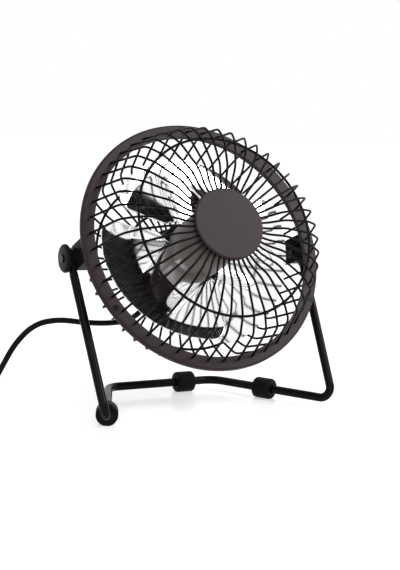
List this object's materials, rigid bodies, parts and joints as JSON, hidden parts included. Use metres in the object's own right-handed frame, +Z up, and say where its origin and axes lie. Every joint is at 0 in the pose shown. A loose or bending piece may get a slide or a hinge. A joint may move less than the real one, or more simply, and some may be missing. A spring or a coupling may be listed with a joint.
{
  "type": "desk fan",
  "caption": "Small desk fan: a tilting round wire cage with a flat ring, bladed rotor and bare centre cap, held by thumb knobs on a bent-tube stand, with a cord.",
  "frame": {"origin": "centre of the footprint box on the table, cord left out", "axes": "+Z up, front of the fan towards -Y, tilt axis along X"},
  "size_m": [0.2577, 0.1183, 0.141],
  "materials": {
    "ring_paint": "satin dark brown-grey paint",
    "cage_wire": "black coated steel wire",
    "cap_plastic": "satin dark brown-grey",
    "housing_plastic": "fine-grained black plastic",
    "gloss_black": "glossy black",
    "blade_metal": "polished sheet",
    "steel": "bright steel",
    "magnet": "dark ferrite",
    "copper": "copper segments",
    "nylon": "plain nylon",
    "tube_paint": "gloss black paint on steel tube",
    "rubber_black": "black rubber"
  },
  "bodies": {
    "stand": {"stand_tube": "tube_paint", "foot_sleeve_left": "rubber_black", "foot_sleeve_right": "rubber_black", "foot_sleeve_rear": "rubber_black", "cord_drop": "rubber_black", "cord_run": "rubber_black", "cord_coil": "rubber_black", "cord_tail": "rubber_black", "plug_body": "rubber_black", "plug_shell": "steel"},
    "head": {"front_rim": "ring_paint", "rear_rim": "ring_paint", "rim_screws": "steel", "front_grille": "cage_wire", "rear_grille": "cage_wire", "front_cap": "cap_plastic", "cap_plate": "cap_plastic", "cap_screw": "steel", "motor_plate": "ring_paint", "motor_housing": "housing_plastic", "motor_can": "steel", "end_bell": "nylon", "rear_bearing": "steel", "front_bearing": "steel", "magnets": "magnet", "rear_cover": "housing_plastic", "motor_screws": "steel", "switch_body": "housing_plastic", "strain_relief": "rubber_black", "pivot_bracket_left": "housing_plastic", "pivot_bracket_right": "housing_plastic", "pivot_nut_left": "steel", "pivot_nut_right": "steel", "pivot_washer_left": "nylon", "pivot_washer_right": "nylon"},
    "fan": {"shaft": "steel", "armature": "steel", "commutator": "copper", "hub": "housing_plastic", "blades": "blade_metal", "hub_nut": "steel"},
    "rocker": {"switch_rocker": "gloss_black"},
    "left_knob": {"knob_left": "gloss_black", "knob_screw_left": "steel"},
    "right_knob": {"knob_right": "gloss_black", "knob_screw_right": "steel"}
  },
  "joints": [
    {"name": "head_tilt", "type": "hinge", "parent": "stand", "child": "head", "pos_m": [0, 0.0123, 0.07625], "axis": [1, 0, 0], "range_deg": [-60, 25], "deforming": ["cord_drop"]},
    {"name": "fan_spin", "type": "hinge", "parent": "head", "child": "fan", "pos_m": [0, 0.0123, 0.07625], "axis": [0, -0.8926, 0.4509], "continuous": true},
    {"name": "power_rocker", "type": "hinge", "parent": "head", "child": "rocker", "pos_m": [0, 0.03832, 0.06907], "axis": [0, 0.4509, 0.8926], "range_deg": [-9, 9]},
    {"name": "left_knob_turn", "type": "hinge", "parent": "head", "child": "left_knob", "pos_m": [-0.0658, 0.0123, 0.07625], "axis": [-1, 0, 0], "range_deg": [-180, 180]},
    {"name": "right_knob_turn", "type": "hinge", "parent": "head", "child": "right_knob", "pos_m": [0.0658, 0.0123, 0.07625], "axis": [1, 0, 0], "range_deg": [-180, 180]}
  ]
}
